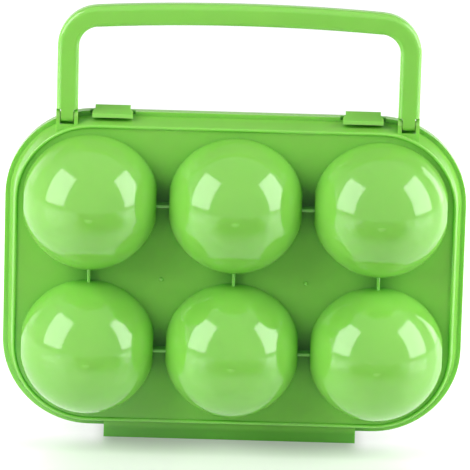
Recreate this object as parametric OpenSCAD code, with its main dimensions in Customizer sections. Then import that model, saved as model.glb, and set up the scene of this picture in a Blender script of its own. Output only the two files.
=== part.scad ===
// Foldable egg box: two moulded half shells on a living hinge, closed by two snap tongues and
// carried by a swinging bail. It stands on its hinge ledges, with x along the box, y to the back
// and z up. The parting plane is y = 0 and the surface that it stands on is z = 0.

/* [Egg cups] */
// Outer radius of a cup
cup_r = 27.4; // [24:0.1:32]
// How far each cup is flattened on its left and on its right
cup_flat = 1.1; // [0.5:0.1:2]
// Strip of plate between two neighbouring cups
cup_gap = 5.1; // [4:0.1:12]
// Cups side by side
columns = 3; // [2:1:5]
// Cups above each other
rows = 2; // [2:1:4]
// Thickness of the moulded walls
wall = 1.5; // [1:0.1:2]

/* [Webs] */
// Thickness of the webs between the cups
web_t = 1.3; // [0.6:0.1:2]
// Height of the webs between the columns above the plate
web_h = 5.8; // [2:0.1:8]
// Height of the webs between the rows above the plate
row_web_h = 3.6; // [2:0.1:8]
// Diameter of the gate nubs
nub_d = 1.8; // [1:0.1:3]
// Height of the gate nubs
nub_h = 1; // [0.4:0.1:2]
// Distance of the nubs below the middle between four cups
nub_drop = 1.7; // [0:0.1:3]

/* [Rim] */
// Depth of one shell from the parting plane to the face of its plate
plate_z = 9.4; // [7:0.1:14]
// Thickness of one flange
flange_t = 2; // [1.4:0.1:3]
// Width of the flange that stands out round the skirt
flange_w = 1.8; // [1.4:0.1:2.6]
// Distance from the edge of the flange to the middle of the lip
lip_offset = 4.5; // [3.8:0.1:6]
// Width of the rounded lip
lip_w = 1.5; // [1:0.1:2]
// Height of the lip above the plate
lip_rise = 0.8; // [0.4:0.1:1.4]
// Strip of plate between the cups and the middle of the lip
edge_gap = 3.4; // [2:0.1:6]
// Gap between the two flanges
seam_gap = 0.2; // [0.1:0.05:0.4]

/* [Hinge] */
// Height of the hinge ledges
ledge_h = 4.2; // [4:0.1:10]
// Depth of one hinge ledge
ledge_d = 5.4; // [5:0.1:8]
// Distance from the edge of the flange to the end of a ledge
ledge_inset = 41.3; // [30:0.1:50]
// Thickness of the hinge film
film_t = 0.4; // [0.3:0.05:0.6]
// Width of the hinge film, from shell to shell
film_w = 2.4; // [1.6:0.1:4]
// Length of ledge left free at each end of the film
film_end = 2; // [1:0.5:6]
// Height of the film above the surface that the box stands on
film_lift = 0.1; // [0.05:0.05:0.3]

/* [Latches] */
// Distance from the edge of the flange to the middle of a tongue
tongue_inset = 42.2; // [36:0.1:50]
// Width of a tongue over the flanges
tongue_w = 14; // [8:0.5:16]
// How far the tip of a tongue widens on each side
tongue_flare = 1; // [0.5:0.1:1.5]
// Thickness of a tongue
tongue_t = 1.5; // [1.2:0.1:1.8]
// Height of the crest of a tongue above the flanges
tongue_rise = 1.8; // [1.5:0.1:3]
// Reach of a tongue in front of the parting plane
tongue_reach = 7; // [6:0.1:8]
// Thickness of the hook under a tongue
hook_t = 1.4; // [1:0.1:2]
// Depth of the notch in the flange that the hook holds on to
notch_h = 0.6; // [0.3:0.1:0.9]
// Width of the deeper notches at both sides of a closed tongue
side_notch_w = 1.7; // [1:0.1:3]
// Depth of these side notches
side_notch_h = 1.3; // [0.9:0.1:1.6]
// Clearance all round a closed latch
latch_fit = 0.3; // [0.2:0.05:0.5]

/* [Handle] */
// Distance from the edge of the flange to the middle of a leg
leg_inset = 24.2; // [18:0.1:30]
// Width of the bail, seen from the front
bail_w = 8.6; // [6.5:0.1:10]
// Depth of the bail
bail_d = 6.5; // [6:0.1:7]
// Radius of the edges of the bail
bail_edge = 2; // [1:0.1:2.8]
// Step all round where the grip is thicker than the bends
grip_step = 0.05; // [0.03:0.01:0.2]
// Radius of the two bends, at the middle of the bail
bend_r = 12.15; // [8:0.05:20]
// Radius of the bowed grip, at the middle of the bail
bow_r = 850; // [400:10:2000]
// Height of the top of the grip above the flanges
handle_rise = 45.9; // [38:0.1:80]
// Width of the neck between the ears
neck_w = 5; // [4:0.1:6]
// Radius of the rounded foot
foot_r = 2.5; // [2.2:0.1:2.6]
// Diameter of the pins on the feet
pin_d = 3; // [2:0.1:3.4]
// Depth of the pins in front of the parting plane
pin_z = 6.2; // [6:0.1:6.6]
// Distance of the pins below the top of the flanges
pin_drop = 1.1; // [0.8:0.1:1.4]
// Radial clearance of a pin in its bore
pin_fit = 0.1; // [0.05:0.01:0.2]
// Thickness of an ear
ear_t = 1.5; // [1.2:0.1:2]
// Radius of the rounded top of an ear
ear_r = 2.6; // [2.4:0.1:3]
// Clearance of the handle beside the ears and before the flange
swing_fit = 0.3; // [0.2:0.05:0.5]

/* [Hidden] */

// Facets of round surfaces, of the bail's edges, and of the grip, a small part of a large circle
$fn = 96;
edge_fn = 32;
bow_fn = 1440;
// Length by which a cut runs past the face that it opens
past = 1;

cup_w = 2 * (cup_r - cup_flat);
pitch_x = cup_w + cup_gap;
pitch_y = 2 * cup_r + cup_gap;
rim_w = lip_offset + edge_gap;
box_w = (columns - 1) * pitch_x + cup_w + 2 * rim_w;
body_h = (rows - 1) * pitch_y + 2 * cup_r + 2 * rim_w;
top_y = ledge_h + body_h;
mid_y = ledge_h + body_h / 2;

// The rounded corners run concentric with the cups
corner_r = cup_r + rim_w;
corner_x = box_w / 2 - corner_r;
corner_y = body_h / 2 - corner_r;

seam_z = seam_gap / 2;
lip_r = lip_w / 2;
lip_z = plate_z + lip_rise - lip_r;
skirt_slope = (lip_offset - lip_r - flange_w) / (lip_z - flange_t);
// Thickness of the leaning skirt, measured straight inwards
skirt_t = wall * sqrt(1 + skirt_slope * skirt_slope);

ledge_w = box_w - 2 * ledge_inset;
film_l = ledge_w - 2 * film_end;

tongue_x = box_w / 2 - tongue_inset;
catch_y = top_y - notch_h;
root_z = plate_z - wall;

leg_x = box_w / 2 - leg_inset;
leg_back_z = flange_t + swing_fit;
leg_front_z = leg_back_z + bail_d;
pin_y = top_y - pin_drop;
ear_gap = neck_w + 2 * swing_fit;
// Height of the bottom of the legs above the pins
shoulder = ear_r + swing_fit;
// The grip bows, so it meets each bend a few degrees off level
bow_angle = asin((leg_x - bend_r) / (bow_r - bend_r));
bow_y = top_y + handle_rise - bail_w / 2 - bow_r;
// In whole hundredths, so that the legs and the bends meet face to face
bend_y = round(100 * (bow_y + (bow_r - bend_r) * cos(bow_angle))) / 100;
leg_l = bend_y - pin_y - shoulder;
// Counted down from the bends, so that the legs and the feet meet face to face
leg_low_y = bend_y - leg_l;

// Distance of the skirt's outer face from the edge of the flange, at a depth z
function skirt_in(z) = flange_w + skirt_slope * (z - flange_t);

// Height of the top of the rim at a place x, for a line that lies an inset inside its edge
function rim_top(x, inset) =
    mid_y + corner_y + sqrt(pow(corner_r - inset, 2) - pow(max(0, x - corner_x), 2));

// The shells are drawn with x along the box, y up and z out from the parting plane.
// A profile in depth and height, extruded along x
module along_x(length) {
    rotate([0, 90, 0])
        linear_extrude(length, center = true)
            mirror([1, 0])
                children();
}

module both_sides(x) {
    for (side = [-1, 1])
        translate([side * x, 0, 0])
            children();
}

// Section of the rim: flange, leaning skirt and rounded lip, with the flange's edge at x = 0
module rim_profile() {
    back_z = plate_z - wall;
    polygon([
        [0, seam_z],
        [0, flange_t],
        [-flange_w, flange_t],
        [-lip_offset + lip_r, lip_z],
        [-lip_offset - lip_r, lip_z],
        [-lip_offset - lip_r, back_z],
        [-skirt_in(back_z) - skirt_t, back_z],
        [-skirt_in(seam_z) - skirt_t, seam_z]
    ]);
    translate([-lip_offset, lip_z])
        circle(r = lip_r);
}

// Swept round the box: two long edges, two short edges and four corners
module rim() {
    translate([0, mid_y, 0])
        for (turn = [0, 180])
            rotate([0, 0, turn]) {
                translate([-corner_x, body_h / 2, 0])
                    rotate([90, 0, 90])
                        linear_extrude(2 * corner_x)
                            rim_profile();
                translate([box_w / 2, corner_y, 0])
                    rotate([90, 0, 0])
                        linear_extrude(2 * corner_y)
                            rim_profile();
                for (quarter = [0, 1])
                    translate([(1 - 2 * quarter) * corner_x, corner_y, 0])
                        rotate([0, 0, 90 * quarter])
                            rotate_extrude(angle = 90)
                                translate([corner_r, 0])
                                    rim_profile();
            }
}

module plate() {
    edge = lip_offset;
    translate([0, mid_y, plate_z - wall])
        linear_extrude(wall) {
            square([2 * corner_x, body_h - 2 * edge], center = true);
            square([box_w - 2 * edge, 2 * corner_y], center = true);
            for (x = [-1, 1], y = [-1, 1])
                translate([x * corner_x, y * corner_y])
                    circle(r = corner_r - edge);
        }
}

module at_cups() {
    for (column = [0:columns - 1], row = [0:rows - 1])
        translate([
            (column - (columns - 1) / 2) * pitch_x,
            mid_y + (row - (rows - 1) / 2) * pitch_y,
            plate_z
        ])
            children();
}

// A half ball on a neck
module knob(r, neck) {
    rotate_extrude() {
        intersection() {
            circle(r = r);
            square(r);
        }
        translate([0, -neck])
            square([r, neck]);
    }
}

// A cup is a knob flattened left and right
module cup_form(r, neck) {
    half_w = r - cup_flat;
    intersection() {
        knob(r, neck);
        translate([-half_w, -r, -neck])
            cube([2 * half_w, 2 * r, r + neck]);
    }
}

// A web with a rounded nose, from one cup's middle to the next along x
module web(length, height) {
    nose_z = plate_z + height - web_t / 2;
    along_x(length) {
        translate([plate_z - wall, -web_t / 2])
            square([nose_z - plate_z + wall, web_t]);
        translate([nose_z, 0])
            circle(d = web_t, $fn = edge_fn);
    }
}

module webs() {
    for (column = [0:columns - 2], row = [0:rows - 1])
        translate([
            (column - columns / 2 + 1) * pitch_x,
            mid_y + (row - rows / 2 + 0.5) * pitch_y,
            0
        ])
            web(pitch_x, web_h);
    for (column = [0:columns - 1], row = [0:rows - 2])
        translate([
            (column - columns / 2 + 0.5) * pitch_x,
            mid_y + (row - rows / 2 + 1) * pitch_y,
            0
        ])
            rotate([0, 0, 90])
                web(pitch_y, row_web_h);
}

// One nub between each four cups
module gate_nubs() {
    for (column = [0:columns - 2], row = [0:rows - 2])
        translate([
            (column - columns / 2 + 1) * pitch_x,
            mid_y + (row - rows / 2 + 1) * pitch_y - nub_drop,
            plate_z + nub_h - nub_d / 2
        ])
            knob(nub_d / 2, wall);
}

module ledge() {
    root_y = ledge_h + skirt_in(ledge_d) + skirt_t / 2;
    translate([-ledge_w / 2, 0, seam_z])
        cube([ledge_w, root_y, ledge_d - seam_z]);
}

// The ledge is hollow and open to the inside of the box
module ledge_hollow() {
    hollow_w = ledge_w - 2 * wall;
    hollow_top = ledge_h + skirt_in(ledge_d) + skirt_t;
    translate([-hollow_w / 2, wall, -past])
        cube([hollow_w, hollow_top - wall, ledge_d - wall + past]);
}

module film_seat() {
    translate([-film_l / 2, -past, -past])
        cube([film_l, film_lift + film_t + past, film_w / 2 + past]);
}

module half_shell() {
    difference() {
        union() {
            rim();
            plate();
            ledge();
            webs();
            gate_nubs();
            at_cups()
                cup_form(cup_r, wall);
        }
        at_cups()
            cup_form(cup_r - wall, wall + past);
        ledge_hollow();
        film_seat();
    }
}

// Section of a tongue in depth and height: it rises from the skirt, crosses both flanges and
// slopes down to its tip, with the hook in front of the other shell's flange
module tongue_profile() {
    crest_z = flange_t / 2;
    slope = tongue_rise / (crest_z + tongue_reach);
    hook_z = flange_t + latch_fit;
    under_y = top_y - tongue_t;
    polygon([
        [root_z, top_y - skirt_in(root_z)],
        [flange_t + wall, top_y + tongue_rise - tongue_t],
        [crest_z, top_y + tongue_rise],
        [-tongue_reach, top_y],
        [-tongue_reach - latch_fit, under_y],
        [-tongue_reach + latch_fit, under_y + latch_fit / 2],
        [-hook_z - hook_t, under_y + slope * (tongue_reach - hook_z - hook_t)],
        [-hook_z - hook_t, top_y - flange_w + latch_fit / 2],
        [-hook_z, top_y - flange_w + latch_fit / 2],
        [-hook_z, catch_y + latch_fit],
        [seam_z, catch_y + latch_fit],
        [seam_z, top_y - flange_w],
        [root_z, top_y - skirt_in(root_z) - wall]
    ]);
}

module tongue() {
    half_w = tongue_w / 2;
    tip_w = half_w + tongue_flare;
    waist_z = -flange_t - latch_fit;
    tip_z = -tongue_reach - past;
    intersection() {
        along_x(2 * tip_w)
            tongue_profile();
        translate([0, top_y + tongue_rise + past, 0])
            rotate([90, 0, 0])
                linear_extrude(tongue_rise + plate_z + 2 * past)
                    polygon([
                        [half_w, plate_z],
                        [half_w, waist_z],
                        [tip_w, waist_z * 2],
                        [tip_w, tip_z],
                        [-tip_w, tip_z],
                        [-tip_w, waist_z * 2],
                        [-half_w, waist_z],
                        [-half_w, plate_z]
                    ]);
    }
}

// Notch in the front flange under a tongue, deeper at both sides of it
module catch_notch() {
    notch_w = tongue_w + 2 * latch_fit;
    translate([-notch_w / 2, catch_y, -past])
        cube([notch_w, notch_h + past, flange_t + 2 * past]);
    both_sides((notch_w + side_notch_w) / 2)
        translate([-side_notch_w / 2, top_y - side_notch_h, -past])
            cube([side_notch_w, side_notch_h + past, flange_t + past + latch_fit]);
}

// An ear is a plate on the skirt, with a rounded top round the pin
module ear(x) {
    foot_y = rim_top(x + ear_t / 2, lip_offset);
    translate([x, 0, 0])
        along_x(ear_t) {
            translate([pin_z, pin_y])
                circle(r = ear_r);
            translate([pin_z - ear_r, foot_y])
                square([2 * ear_r, pin_y - foot_y]);
        }
}

module ears() {
    for (side = [-1, 1])
        ear_pair(side);
}

module ear_pair(side) {
    offset_x = (ear_gap + ear_t) / 2;
    mirror([side < 0 ? 1 : 0, 0, 0]) {
        ear(leg_x - offset_x);
        ear(leg_x + offset_x);
        pedestal(leg_x - offset_x, leg_x + offset_x);
    }
}

// Fills the space between two ears, from the skirt up to the swinging foot
module pedestal(inner_x, outer_x) {
    pedestal_y = pin_y - foot_r - 2 * swing_fit;
    translate([0, 0, pin_z - ear_r])
        linear_extrude(2 * ear_r)
            polygon([
                [inner_x, rim_top(inner_x, lip_offset)],
                [outer_x, rim_top(outer_x, lip_offset)],
                [outer_x, pedestal_y],
                [inner_x, pedestal_y]
            ]);
}

module pin_bores() {
    both_sides(leg_x)
        translate([0, pin_y, pin_z])
            rotate([0, 90, 0]) {
                cylinder(d = pin_d + 2 * pin_fit, h = ear_gap + 2 * ear_t + 2 * past, center = true);
                cylinder(r = foot_r + swing_fit, h = ear_gap, center = true);
            }
}

// Rounded section of the bail, smaller all round by an inset: x across it, y through its depth
module bail_section(inset) {
    half_w = bail_w / 2 - bail_edge;
    half_d = bail_d / 2 - bail_edge;
    square([bail_w - 2 * inset, 2 * half_d], center = true);
    square([2 * half_w, bail_d - 2 * inset], center = true);
    for (x = [-1, 1], y = [-1, 1])
        translate([x * half_w, y * half_d])
            circle(r = bail_edge - inset, $fn = edge_fn);
}

// A leg ends square, just above the ears
module leg() {
    translate([0, bend_y, 0])
        rotate([90, 0, 0])
            linear_extrude(leg_l)
                bail_section(grip_step);
}

// The narrower foot passes between the ears. It is drawn down from the bottom of its leg
module foot() {
    translate([0, leg_low_y, 0])
        along_x(neck_w) {
            translate([pin_z, -shoulder])
                circle(r = foot_r);
            polygon([
                [pin_z - foot_r, -shoulder],
                [pin_z + foot_r, -shoulder],
                [leg_front_z - grip_step, 0],
                [leg_back_z + grip_step, 0]
            ]);
        }
    translate([0, pin_y, pin_z])
        rotate([0, 90, 0])
            cylinder(d = pin_d, h = ear_gap + 2 * ear_t, center = true);
}

// The bends run a little way into the grip
module bail() {
    bend_angle = 90 - bow_angle;
    bend_lap = 1;
    both_sides(leg_x)
        foot();
    translate([0, 0, leg_back_z + bail_d / 2]) {
        both_sides(leg_x)
            leg();
        for (side = [0, 1])
            mirror([side, 0, 0])
                translate([leg_x - bend_r, bend_y, 0])
                    rotate_extrude(angle = bend_angle + bend_lap)
                        translate([bend_r, 0])
                            bail_section(grip_step);
        translate([0, bow_y, 0])
            rotate([0, 0, 90 - bow_angle])
                rotate_extrude(angle = 2 * bow_angle, $fn = bow_fn)
                    translate([bow_r, 0])
                        bail_section(0);
    }
}

// Stands a shape that was drawn in x, y and depth on its ledge, in front of the parting plane
module stand_front() {
    rotate([90, 0, 0])
        children();
}

module stand_back() {
    mirror([0, 1, 0])
        stand_front()
            children();
}

module back_shell() {
    color("#76c44a")
        stand_back() {
            half_shell();
            both_sides(tongue_x)
                tongue();
        }
}

module front_shell() {
    color("#76c44a")
        stand_front()
            difference() {
                union() {
                    half_shell();
                    ears();
                }
                pin_bores();
                both_sides(tongue_x)
                    catch_notch();
            }
}

// The thin web of plastic that joins the two ledges
module hinge_film() {
    color("#6ab83f")
        translate([-film_l / 2, -film_w / 2, film_lift])
            cube([film_l, film_w, film_t]);
}

module handle() {
    color("#7ccb4e")
        stand_front()
            bail();
}

back_shell();
front_shell();
hinge_film();
handle();
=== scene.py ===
import math

import bmesh
import bpy
from mathutils import Matrix, Vector


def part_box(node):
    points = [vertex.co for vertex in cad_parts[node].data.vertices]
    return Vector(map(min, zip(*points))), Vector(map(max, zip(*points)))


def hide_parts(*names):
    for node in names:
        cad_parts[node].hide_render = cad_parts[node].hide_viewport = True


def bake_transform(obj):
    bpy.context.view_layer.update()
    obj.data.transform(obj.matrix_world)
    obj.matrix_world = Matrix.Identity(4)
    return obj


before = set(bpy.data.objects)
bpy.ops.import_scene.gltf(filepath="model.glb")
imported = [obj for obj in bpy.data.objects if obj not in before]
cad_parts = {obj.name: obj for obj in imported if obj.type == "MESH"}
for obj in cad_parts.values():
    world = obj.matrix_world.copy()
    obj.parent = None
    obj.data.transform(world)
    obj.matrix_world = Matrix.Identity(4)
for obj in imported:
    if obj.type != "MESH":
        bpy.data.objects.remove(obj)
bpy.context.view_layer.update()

MM = 0.001

# The camera stands far off and looks slightly down, rolled a little as in the photograph
CAMERA_DISTANCE = 2.4
CAMERA_ELEVATION = 16.0
CAMERA_ROLL = 1.6
CAMERA_LENS = 460.0
CAMERA_TARGET = Vector((0.0001, 0.0, 0.0843))

# Softboxes: degrees to the side of the front, elevation, width and height, radiance
SOFTBOXES = {
    "softbox_left": (-61.5, 26.5, 0.86, 1.14, 5.4),
    "softbox_right": (75.5, 23.5, 0.84, 1.1, 5.8),
    "strip_left": (-128.0, 20.0, 0.5, 0.8, 0.6),
    "strip_right": (125.0, 15.0, 0.3, 0.8, 3.0),
}
SOFTBOX_DISTANCE = 1.3
# Light of the studio in front of the object and of the white wall behind it, and the part of
# the wall's white that the ceiling above it shows in reflections
STUDIO_GREY = 0.13
WALL_LIGHT = 0.48
CEILING = 0.25
# Where the wall begins and where the ceiling does, in the y and z of a direction
WALL_STEP, CEILING_STEP = (0.15, 0.5), (0.15, 0.45)

# Half the table's width, and the y of its front and back edges
TABLE_HALF, TABLE_FRONT, TABLE_BACK = 6, -0.95, 6
TABLE_ROUGHNESS = 0.2
# Degrees to the side of the front between which the table is dimmer, the point that this
# sector starts from, and how far its soft edges reach outwards and inwards
SHADE_SECTOR = (-22.0, 36.0)
SHADE_APEX = Vector((0.0, 0.12, 0.0))
SHADE_EDGE = (-0.04, 0.07)
# Soft steps over the table, in metres to either side of the middle: outwards from the
# ledge, and round the ends of the ledge
BESIDE_STEP, LEDGE_END_STEP = (0.05, 0.12), (0.046, 0.056)
# Towards the camera: on to the ledge's place, out of its contact shadow, and far off
UNDER_STEP, CONTACT_STEP, FAR_STEP = (-0.03, -0.01), (0.005, 0.03), (0.08, 0.25)
# Away from the camera: behind the object
BEHIND_STEP = (-0.025, 0.0)
# How white the table is all round, in the dimmer sector near the object and far from it,
# and to the camera in the contact shadow
TABLE_WHITE, TABLE_NEAR, TABLE_FAR, TABLE_CONTACT = 0.88, 0.85, 0.4, 0.33
# How much it glows in reflections all round, and in that sector near the object and far
# from it
MIRRORED_GLOW, MIRRORED_NEAR, MIRRORED_FAR = 0.7, 0.5, 0.0
# The part of its brightness in that sector that reflections keep far from the object, and
# where they meet the table at a low angle, as those in upright faces do
KEPT_FAR, KEPT_LOW = 0.0, 0.08
# The slope over which a reflection stops being low, as the z of its direction
STEEP_STEP = (0.3, 0.65)
# How much it glows to the camera: behind, in front and at both sides, and the part of that
# which is left at the ledge, a painted contact shadow
GLOW_BEHIND, GLOW_FRONT, GLOW_SIDE, GLOW_CONTACT = 0.7, 0.17, 0.58, 0.4

# Painted shade in narrow gaps: its colour, how far off a wall still counts, and how open a
# place is where that colour is full and where it is gone
GAP_SHADE_GREEN = (0.06, 0.35, 0.012)
GAP_REACH = 9 * MM
GAP_OPENNESS = (0.05, 0.7)
# Painted shade on the bar ends between these heights; the bar keeps this much of its colour
BAR_SHADE_STEP = (3.5 * MM, 5.5 * MM)
BAR_SHADE = 0.45
# Strips across the hinge film and lengths along it, and the part of its thickness that is
# missing in the middle
FILM_STRIPS, FILM_LENGTHS = 12, 24
FILM_WAIST = 0.22


def node_tree(name):
    material = bpy.data.materials.new(name)
    material.use_nodes = True
    tree = material.node_tree
    return material, tree, tree.nodes["Principled BSDF"]


def link(tree, source, target):
    tree.links.new(source, target)


def noise(tree, scale, detail=3.0, roughness=0.5):
    coordinates = tree.nodes.new("ShaderNodeTexCoord")
    texture = tree.nodes.new("ShaderNodeTexNoise")
    texture.inputs["Scale"].default_value = scale
    texture.inputs["Detail"].default_value = detail
    texture.inputs["Roughness"].default_value = roughness
    link(tree, coordinates.outputs["Object"], texture.inputs["Vector"])
    return texture.outputs["Fac"]


def ramp(tree, factor, low, high, start=0.35, end=0.65):
    """A colour ramp from low to high over the middle of a noise."""
    node = tree.nodes.new("ShaderNodeValToRGB")
    node.color_ramp.elements[0].position = start
    node.color_ramp.elements[0].color = (*low, 1.0)
    node.color_ramp.elements[1].position = end
    node.color_ramp.elements[1].color = (*high, 1.0)
    link(tree, factor, node.inputs["Fac"])
    return node.outputs["Color"]


def spread(tree, factor, low, high):
    """A noise mapped to a range of plain numbers."""
    node = tree.nodes.new("ShaderNodeMapRange")
    node.inputs["From Min"].default_value = 0.3
    node.inputs["From Max"].default_value = 0.7
    node.inputs["To Min"].default_value = low
    node.inputs["To Max"].default_value = high
    link(tree, factor, node.inputs["Value"])
    return node.outputs["Result"]


def feed(tree, socket, value):
    """Gives a socket a plain number or links another socket to it."""
    if isinstance(value, (int, float)):
        socket.default_value = value
    else:
        link(tree, value, socket)


def math_node(tree, operation, *values):
    """One step of arithmetic on plain numbers or sockets."""
    node = tree.nodes.new("ShaderNodeMath")
    node.operation = operation
    for socket, value in zip(node.inputs, values):
        feed(tree, socket, value)
    return node.outputs["Value"]


def product(tree, *values):
    return math_node(tree, "MULTIPLY", *values)


def inverse(tree, value):
    return math_node(tree, "SUBTRACT", 1.0, value)


def between(tree, factor, start, end):
    """start where the factor is 0 and end where it is 1."""
    node = tree.nodes.new("ShaderNodeMix")
    for name, value in (("Factor", factor), ("A", start), ("B", end)):
        feed(tree, node.inputs[name], value)
    return node.outputs["Result"]


def smooth_step(tree, value, start, end):
    """0 up to the start and 1 from the end on."""
    node = tree.nodes.new("ShaderNodeMapRange")
    node.interpolation_type = "SMOOTHSTEP"
    node.inputs["From Min"].default_value = start
    node.inputs["From Max"].default_value = end
    link(tree, value, node.inputs["Value"])
    return node.outputs["Result"]


def glossy_plastic(name, low, high, roughness=(0.09, 0.13), shade_colour=GAP_SHADE_GREEN):
    """Moulded polypropylene: a faintly cloudy colour, soft waves and a fine grain."""
    material, tree, shader = node_tree(name)
    # Painted shade: the colour is darker in narrow gaps and on the bar that the box stands
    # on
    hollow = tree.nodes.new("ShaderNodeAmbientOcclusion")
    hollow.samples = 8
    hollow.inputs["Distance"].default_value = GAP_REACH
    open_air = tree.nodes.new("ShaderNodeMapRange")
    open_air.inputs["From Min"].default_value = GAP_OPENNESS[0]
    open_air.inputs["From Max"].default_value = GAP_OPENNESS[1]
    link(tree, hollow.outputs["AO"], open_air.inputs["Value"])
    coordinates = tree.nodes.new("ShaderNodeTexCoord")
    axes = tree.nodes.new("ShaderNodeSeparateXYZ")
    link(tree, coordinates.outputs["Object"], axes.inputs["Vector"])
    above_bar = smooth_step(tree, axes.outputs["Z"], *BAR_SHADE_STEP)
    bar_shade = between(tree, above_bar, BAR_SHADE, 1.0)
    unshaded = product(tree, open_air.outputs["Result"], bar_shade)
    tint = tree.nodes.new("ShaderNodeMix")
    tint.data_type = "RGBA"
    tint.inputs["A"].default_value = (*shade_colour, 1.0)
    link(tree, ramp(tree, noise(tree, 26.0), low, high), tint.inputs["B"])
    link(tree, unshaded, tint.inputs["Factor"])
    link(tree, tint.outputs["Result"], shader.inputs["Base Color"])
    link(
        tree,
        spread(tree, noise(tree, 90.0, 5.0, 0.6), *roughness),
        shader.inputs["Roughness"],
    )
    waves = tree.nodes.new("ShaderNodeBump")
    waves.inputs["Strength"].default_value = 0.12
    waves.inputs["Distance"].default_value = 0.4 * MM
    link(tree, noise(tree, 60.0, 1.0), waves.inputs["Height"])
    grain = tree.nodes.new("ShaderNodeBump")
    grain.inputs["Strength"].default_value = 0.05
    grain.inputs["Distance"].default_value = 0.05 * MM
    link(tree, noise(tree, 1400.0, 2.0), grain.inputs["Height"])
    link(tree, waves.outputs["Normal"], grain.inputs["Normal"])
    link(tree, grain.outputs["Normal"], shader.inputs["Normal"])
    shader.inputs["IOR"].default_value = 1.49
    shader.inputs["Specular IOR Level"].default_value = 0.62
    shader.inputs["Subsurface Weight"].default_value = 0.5
    shader.inputs["Subsurface Radius"].default_value = (0.6, 1.0, 0.4)
    shader.inputs["Subsurface Scale"].default_value = 5 * MM
    return material


def make_materials():
    shell = glossy_plastic("shell_plastic", (0.24, 0.635, 0.083), (0.26, 0.665, 0.091))
    # The handle's painted shade in its gaps is a paler green
    handle = glossy_plastic(
        "handle_plastic", (0.26, 0.655, 0.092), (0.28, 0.685, 0.1), shade_colour=(0.2, 0.56, 0.06)
    )
    film = glossy_plastic(
        "film_plastic", (0.26, 0.66, 0.13), (0.3, 0.7, 0.16), (0.3, 0.45)
    )
    return {"shell": shell, "handle": handle, "film": film}


def put_material(obj, material):
    obj.data.materials.clear()
    obj.data.materials.append(material)


def make_film(material):
    """The hinge film, cut into strips across it and thinnest along its middle line."""
    low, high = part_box("hinge_film")
    strips, lengths = FILM_STRIPS, FILM_LENGTHS
    width = high.y - low.y
    mesh = bmesh.new()
    rows = []
    for i in range(strips + 1):
        y = low.y + width * i / strips
        # Thinnest along the middle, where it folds
        middle = 1 - abs(2 * i / strips - 1)
        waist = FILM_WAIST * (high.z - low.z) * middle * middle
        row = []
        for j in range(lengths + 1):
            x = low.x + (high.x - low.x) * j / lengths
            row.append(
                (
                    mesh.verts.new((x, y, low.z)),
                    mesh.verts.new((x, y, high.z - waist)),
                )
            )
        rows.append(row)
    for i in range(strips):
        for j in range(lengths):
            a, b, c, d = rows[i][j], rows[i][j + 1], rows[i + 1][j + 1], rows[i + 1][j]
            mesh.faces.new((a[1], b[1], c[1], d[1]))
            mesh.faces.new((d[0], c[0], b[0], a[0]))
            if i == 0:
                mesh.faces.new((a[0], b[0], b[1], a[1]))
            if i == strips - 1:
                mesh.faces.new((c[0], d[0], d[1], c[1]))
            if j == 0:
                mesh.faces.new((d[0], a[0], a[1], d[1]))
            if j == lengths - 1:
                mesh.faces.new((b[0], c[0], c[1], b[1]))
    data = bpy.data.meshes.new("hinge_web")
    mesh.to_mesh(data)
    mesh.free()
    film = bpy.data.objects.new("hinge_web", data)
    bpy.context.scene.collection.objects.link(film)
    put_material(film, material)
    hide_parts("hinge_film")
    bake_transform(film)


def ray_kinds(tree):
    """Camera rays, and rays that were mirrored or passed through something: 1 or else 0."""
    path = tree.nodes.new("ShaderNodeLightPath")
    mirrored = math_node(
        tree,
        "MAXIMUM",
        path.outputs["Is Glossy Ray"],
        path.outputs["Is Transmission Ray"],
    )
    return path.outputs["Is Camera Ray"], mirrored


def inside_of(tree, place, direction):
    """1 on the inner side of a line on the table through the apex of the dimmer sector."""
    across = tree.nodes.new("ShaderNodeVectorMath")
    across.operation = "DOT_PRODUCT"
    link(tree, place, across.inputs[0])
    across.inputs[1].default_value = direction
    apex = SHADE_APEX.dot(direction)
    start, end = (apex + edge for edge in SHADE_EDGE)
    return smooth_step(tree, across.outputs["Value"], start, end)


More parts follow.
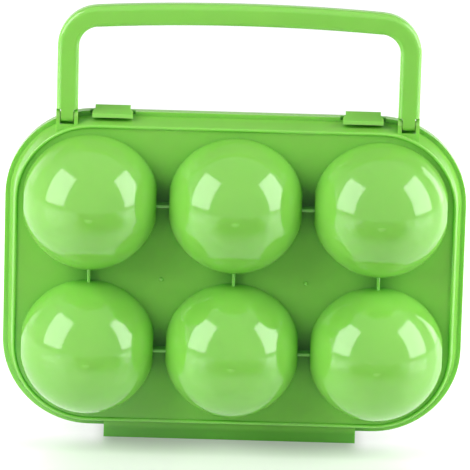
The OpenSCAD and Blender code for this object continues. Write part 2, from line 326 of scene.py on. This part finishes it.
def make_floor():
    """A white table, dimmer in front. To the camera it is white outside the shadow."""
    mesh = bpy.data.meshes.new("floor")
    corners = [
        (-TABLE_HALF, TABLE_FRONT),
        (TABLE_HALF, TABLE_FRONT),
        (TABLE_HALF, TABLE_BACK),
        (-TABLE_HALF, TABLE_BACK),
    ]
    mesh.from_pydata([(x, y, 0) for x, y in corners], [], [(0, 1, 2, 3)])
    floor = bpy.data.objects.new("floor", mesh)
    bpy.context.scene.collection.objects.link(floor)
    material, tree, shader = node_tree("floor_white")
    camera_ray, mirrored_ray = ray_kinds(tree)

    # Zones of the table
    place = tree.nodes.new("ShaderNodeTexCoord").outputs["Object"]
    axes = tree.nodes.new("ShaderNodeSeparateXYZ")
    link(tree, place, axes.inputs["Vector"])
    left, right = (math.radians(a) for a in SHADE_SECTOR)
    sector = product(
        tree,
        inside_of(tree, place, Vector((math.cos(left), math.sin(left), 0))),
        inside_of(tree, place, Vector((-math.cos(right), -math.sin(right), 0))),
    )
    sideways = math_node(tree, "ABSOLUTE", axes.outputs["X"])
    ahead = product(tree, axes.outputs["Y"], -1.0)
    beside = smooth_step(tree, sideways, *BESIDE_STEP)
    behind = smooth_step(tree, axes.outputs["Y"], *BEHIND_STEP)
    far = smooth_step(tree, ahead, *FAR_STEP)
    contact = product(
        tree,
        inverse(tree, beside),
        inverse(tree, smooth_step(tree, ahead, *CONTACT_STEP)),
    )
    under = product(
        tree,
        product(tree, contact, smooth_step(tree, ahead, *UNDER_STEP)),
        inverse(tree, smooth_step(tree, sideways, *LEDGE_END_STEP)),
    )

    # The part of the table's brightness that reflections keep
    incoming = tree.nodes.new("ShaderNodeSeparateXYZ")
    geometry = tree.nodes.new("ShaderNodeNewGeometry")
    link(tree, geometry.outputs["Incoming"], incoming.inputs["Vector"])
    steep = smooth_step(tree, incoming.outputs["Z"], *STEEP_STEP)
    kept = product(
        tree,
        between(tree, steep, KEPT_LOW, 1.0),
        between(tree, far, 1.0, KEPT_FAR),
    )
    kept = between(tree, sector, 1.0, kept)

    # Its white, to scattered light, in reflections and to the camera
    shaded = between(tree, sector, TABLE_WHITE, between(tree, far, TABLE_NEAR, TABLE_FAR))
    white = between(tree, mirrored_ray, shaded, product(tree, shaded, kept))
    seen_white = between(tree, contact, TABLE_WHITE, TABLE_CONTACT)
    white = between(tree, camera_ray, white, seen_white)
    cloudy = spread(tree, noise(tree, 3.0), 0.98, 1.02)
    link(tree, product(tree, white, cloudy), shader.inputs["Base Color"])
    shader.inputs["Roughness"].default_value = TABLE_ROUGHNESS

    # Its glow, to the camera and in reflections
    seen = between(tree, beside, GLOW_FRONT, GLOW_SIDE)
    seen = between(tree, behind, seen, GLOW_BEHIND)
    seen = product(tree, seen, between(tree, under, 1.0, GLOW_CONTACT))
    dimmed = between(tree, far, MIRRORED_NEAR, MIRRORED_FAR)
    mirrored = product(tree, between(tree, sector, MIRRORED_GLOW, dimmed), kept)
    glow = math_node(
        tree,
        "ADD",
        product(tree, camera_ray, seen),
        product(tree, mirrored_ray, mirrored),
    )
    shader.inputs["Emission Color"].default_value = (1.0, 1.0, 1.0, 1.0)
    link(tree, glow, shader.inputs["Emission Strength"])
    put_material(floor, material)


def make_world():
    """A white wall behind the object and a dim studio in front of it."""
    world = bpy.data.worlds.new("studio")
    bpy.context.scene.world = world
    world.use_nodes = True
    tree = world.node_tree
    background = tree.nodes["Background"]
    coordinates = tree.nodes.new("ShaderNodeTexCoord")
    axes = tree.nodes.new("ShaderNodeSeparateXYZ")
    link(tree, coordinates.outputs["Generated"], axes.inputs["Vector"])
    camera_ray, mirrored_ray = ray_kinds(tree)
    behind = smooth_step(tree, axes.outputs["Y"], *WALL_STEP)
    above = smooth_step(tree, axes.outputs["Z"], *CEILING_STEP)
    lighting = between(tree, behind, STUDIO_GREY, WALL_LIGHT)
    reflected = between(tree, product(tree, behind, above), 1.0, CEILING)
    brightness = between(tree, mirrored_ray, lighting, reflected)
    brightness = between(tree, camera_ray, brightness, 1.0)
    link(tree, brightness, background.inputs["Color"])


def towards(azimuth, elevation):
    """Unit vector to a place in degrees right of the front and above the horizon."""
    a, e = math.radians(azimuth), math.radians(elevation)
    return Vector((math.sin(a) * math.cos(e), -math.cos(a) * math.cos(e), math.sin(e)))


def make_softboxes():
    for name, (azimuth, elevation, width, height, radiance) in SOFTBOXES.items():
        data = bpy.data.lights.new(name, "AREA")
        data.shape = "RECTANGLE"
        data.size = width
        data.size_y = height
        data.energy = radiance * width * height * math.pi
        lamp = bpy.data.objects.new(name, data)
        bpy.context.scene.collection.objects.link(lamp)
        direction = towards(azimuth, elevation)
        lamp.location = CAMERA_TARGET + direction * SOFTBOX_DISTANCE
        lamp.rotation_euler = direction.to_track_quat("Z", "Y").to_euler()


def make_camera():
    data = bpy.data.cameras.new("camera")
    data.lens = CAMERA_LENS
    data.sensor_width = 36.0
    data.clip_start = 0.1
    data.clip_end = 50.0
    camera = bpy.data.objects.new("camera", data)
    bpy.context.scene.collection.objects.link(camera)
    direction = towards(0.0, CAMERA_ELEVATION)
    turn = direction.to_track_quat("Z", "Y").to_matrix().to_4x4()
    roll = Matrix.Rotation(math.radians(CAMERA_ROLL), 4, "Z")
    camera.matrix_world = (
        Matrix.Translation(CAMERA_TARGET + direction * CAMERA_DISTANCE) @ turn @ roll
    )
    bpy.context.scene.camera = camera


materials = make_materials()
for node, finish in (
    ("back_shell", "shell"),
    ("front_shell", "shell"),
    ("handle", "handle"),
):
    put_material(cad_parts[node], materials[finish])
make_film(materials["film"])
make_floor()
make_world()
make_softboxes()
make_camera()
bpy.context.scene.view_settings.view_transform = "Standard"
